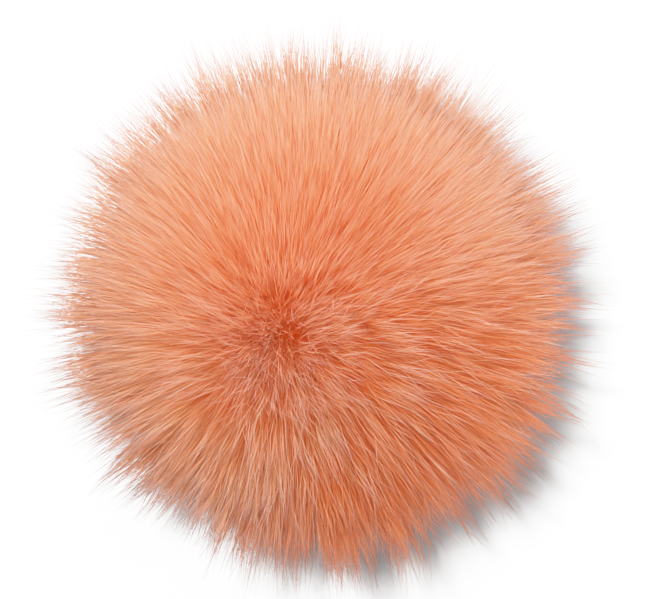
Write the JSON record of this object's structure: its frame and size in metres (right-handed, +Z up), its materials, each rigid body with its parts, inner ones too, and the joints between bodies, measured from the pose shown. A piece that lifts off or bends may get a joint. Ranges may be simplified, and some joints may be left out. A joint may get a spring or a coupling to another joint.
{
  "type": "fur pom pom",
  "caption": "Round long-pile fur pom pom, parted off centre on top, with pointed locks all round and a small flat spot that it rests on.",
  "frame": {"origin": "middle of the flat spot under the ball, on the surface that it rests on", "axes": "+Z up out of the resting surface, through the ball's middle; the pile parts on top towards -X and -Y of the middle"},
  "size_m": [0.1326, 0.1333, 0.1109],
  "materials": {
    "pile": "long silky pile, deep orange at the roots and pale peach at the tips"
  },
  "bodies": {
    "root": {"pompom": "pile"}
  },
  "joints": []
}
